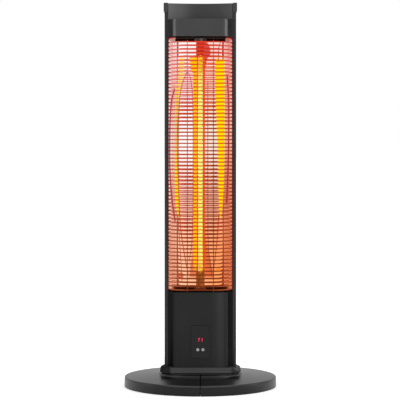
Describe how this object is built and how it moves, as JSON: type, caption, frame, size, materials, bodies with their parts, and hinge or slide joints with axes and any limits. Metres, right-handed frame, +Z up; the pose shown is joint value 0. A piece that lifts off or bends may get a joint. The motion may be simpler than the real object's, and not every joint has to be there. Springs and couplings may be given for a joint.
{
  "type": "infrared patio heater tower",
  "caption": "Slim two-sided infrared heater tower on a round split base, with wire guards, quartz tubes, bent reflectors, touch panel and carrying handle.",
  "frame": {"origin": "centre of the underside, level with the bottom of the rubber feet", "axes": "+Z up the tower, -Y out of the front with the touch panel, +X to the right seen from the front"},
  "size_m": [0.36, 0.36, 0.908],
  "materials": {
    "base_plastic": "satin moulded",
    "housing_black": "satin moulded",
    "rail_black": "black anodised",
    "bracket_black": "matt black paint",
    "guard_wire": "dark heat-proof paint",
    "window_black": "gloss",
    "rubber_black": "matt",
    "zinc_steel": "zinc plated",
    "reflector_sheet": "mirror polished",
    "quartz": "clear",
    "heating_wire": "glowing",
    "white_ceramic": "matt",
    "circuit_board": "solder mask",
    "relay_case": "moulded",
    "display_red": "lit digits",
    "key_light": "lit icon",
    "switch_black": "gloss"
  },
  "bodies": {
    "tower": {"base_left_half": "base_plastic", "base_right_half": "base_plastic", "base_cover_left": "base_plastic", "base_cover_right": "base_plastic", "collar": "base_plastic", "tip_switch_body": "base_plastic", "rocker_frame": "base_plastic", "ballast_left": "zinc_steel", "ballast_right": "zinc_steel", "foot_plate": "zinc_steel", "tip_switch_spring": "zinc_steel", "base_screw_1": "zinc_steel", "base_screw_2": "zinc_steel", "base_screw_3": "zinc_steel", "base_screw_4": "zinc_steel", "rubber_foot_1": "rubber_black", "rubber_foot_2": "rubber_black", "rubber_foot_3": "rubber_black", "rubber_foot_4": "rubber_black", "cord_inlet": "rubber_black", "lower_front_cover": "housing_black", "lower_rear_cover": "housing_black", "top_front_cover": "housing_black", "top_rear_cover": "housing_black", "handle_front_shell": "housing_black", "handle_rear_shell": "housing_black", "left_rail_cap": "housing_black", "right_rail_cap": "housing_black", "thermal_cutout": "housing_black", "control_window": "window_black", "power_touch_key": "key_light", "level_touch_key": "key_light", "digit_display": "display_red", "control_board": "circuit_board", "power_board": "circuit_board", "heating_relay": "relay_case", "terminal_block": "white_ceramic", "front_lower_ceramic": "white_ceramic", "rear_lower_ceramic": "white_ceramic", "front_upper_ceramic": "white_ceramic", "rear_upper_ceramic": "white_ceramic", "left_rail": "rail_black", "right_rail": "rail_black", "front_guard": "guard_wire", "rear_guard": "guard_wire", "front_guard_upright_left": "guard_wire", "front_guard_upright_right": "guard_wire", "rear_guard_upright_left": "guard_wire", "rear_guard_upright_right": "guard_wire", "front_reflector": "reflector_sheet", "rear_reflector": "reflector_sheet", "front_quartz_tube": "quartz", "rear_quartz_tube": "quartz", "front_heating_coil": "heating_wire", "rear_heating_coil": "heating_wire", "lower_element_bracket": "bracket_black", "upper_element_bracket": "bracket_black"},
    "tip_plunger": {"tip_switch_plunger": "base_plastic"},
    "power_rocker": {"power_rocker": "switch_black"}
  },
  "joints": [
    {"name": "tip_switch_travel", "type": "slide", "parent": "tower", "child": "tip_plunger", "axis": [0, 0, 1], "range_m": [-0.004, 0], "stiffness_N_per_m": 60, "springref_m": -0.01, "deforming": ["tip_switch_spring"]},
    {"name": "rocker_tilt", "type": "hinge", "parent": "tower", "child": "power_rocker", "pos_m": [0.028, 0.0665, 0.084], "axis": [1, 0, 0], "range_deg": [0, 14]}
  ]
}
